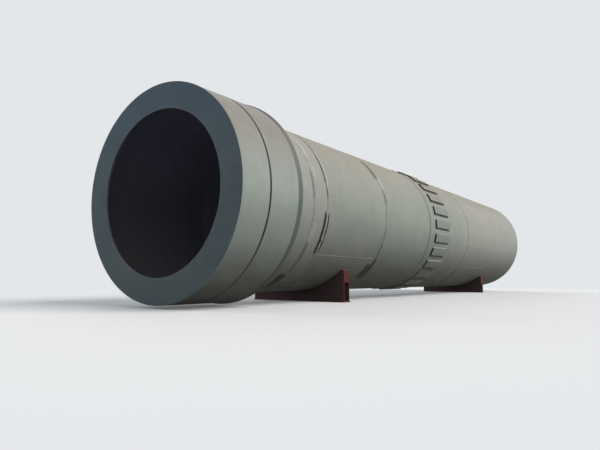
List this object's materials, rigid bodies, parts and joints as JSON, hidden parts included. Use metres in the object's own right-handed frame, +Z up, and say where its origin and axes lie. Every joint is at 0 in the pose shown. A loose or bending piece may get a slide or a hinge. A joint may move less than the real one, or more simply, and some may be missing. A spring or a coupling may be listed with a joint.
{
  "type": "rotary kiln shell section on transport saddles",
  "caption": "Hollow rotary kiln shell with a wide open-fronted drum at one end and a ring of tyre-seat pads, lying on two arc-cut steel saddles.",
  "frame": {"origin": "on the floor under the middle of the kiln's length, in line with its axis", "axes": "+X along the kiln's axis from the wide drum's face to the open far end, +Z up"},
  "size_m": [16.838, 3.7438, 3.7718],
  "materials": {
    "kiln_paint": "grey-green primer, satin, weathered",
    "end_plate_paint": "slate grey primer, satin",
    "rim_paint": "grey-green primer, satin, dusty",
    "pad_paint": "grey-green primer, satin, bare steel edges",
    "saddle_paint": "red oxide primer, matte"
  },
  "bodies": {
    "root": {"end_plate": "end_plate_paint", "drum_front_course": "kiln_paint", "drum_rear_course": "kiln_paint", "drum_rim_ring": "rim_paint", "step_plate": "rim_paint", "neck_front_course": "kiln_paint", "neck_rear_course": "kiln_paint", "shell_course_1": "kiln_paint", "shell_course_2": "kiln_paint", "tyre_course": "kiln_paint", "end_course_1": "kiln_paint", "end_course_2": "kiln_paint", "tyre_seat_pads": "pad_paint", "saddle_1_base_plate": "saddle_paint", "saddle_1_front_web": "saddle_paint", "saddle_1_rear_web": "saddle_paint", "saddle_1_cradle": "saddle_paint", "saddle_1_end_caps": "saddle_paint", "saddle_1_ribs": "saddle_paint", "saddle_2_base_plate": "saddle_paint", "saddle_2_front_web": "saddle_paint", "saddle_2_rear_web": "saddle_paint", "saddle_2_cradle": "saddle_paint", "saddle_2_end_caps": "saddle_paint", "saddle_2_ribs": "saddle_paint"}
  },
  "joints": []
}
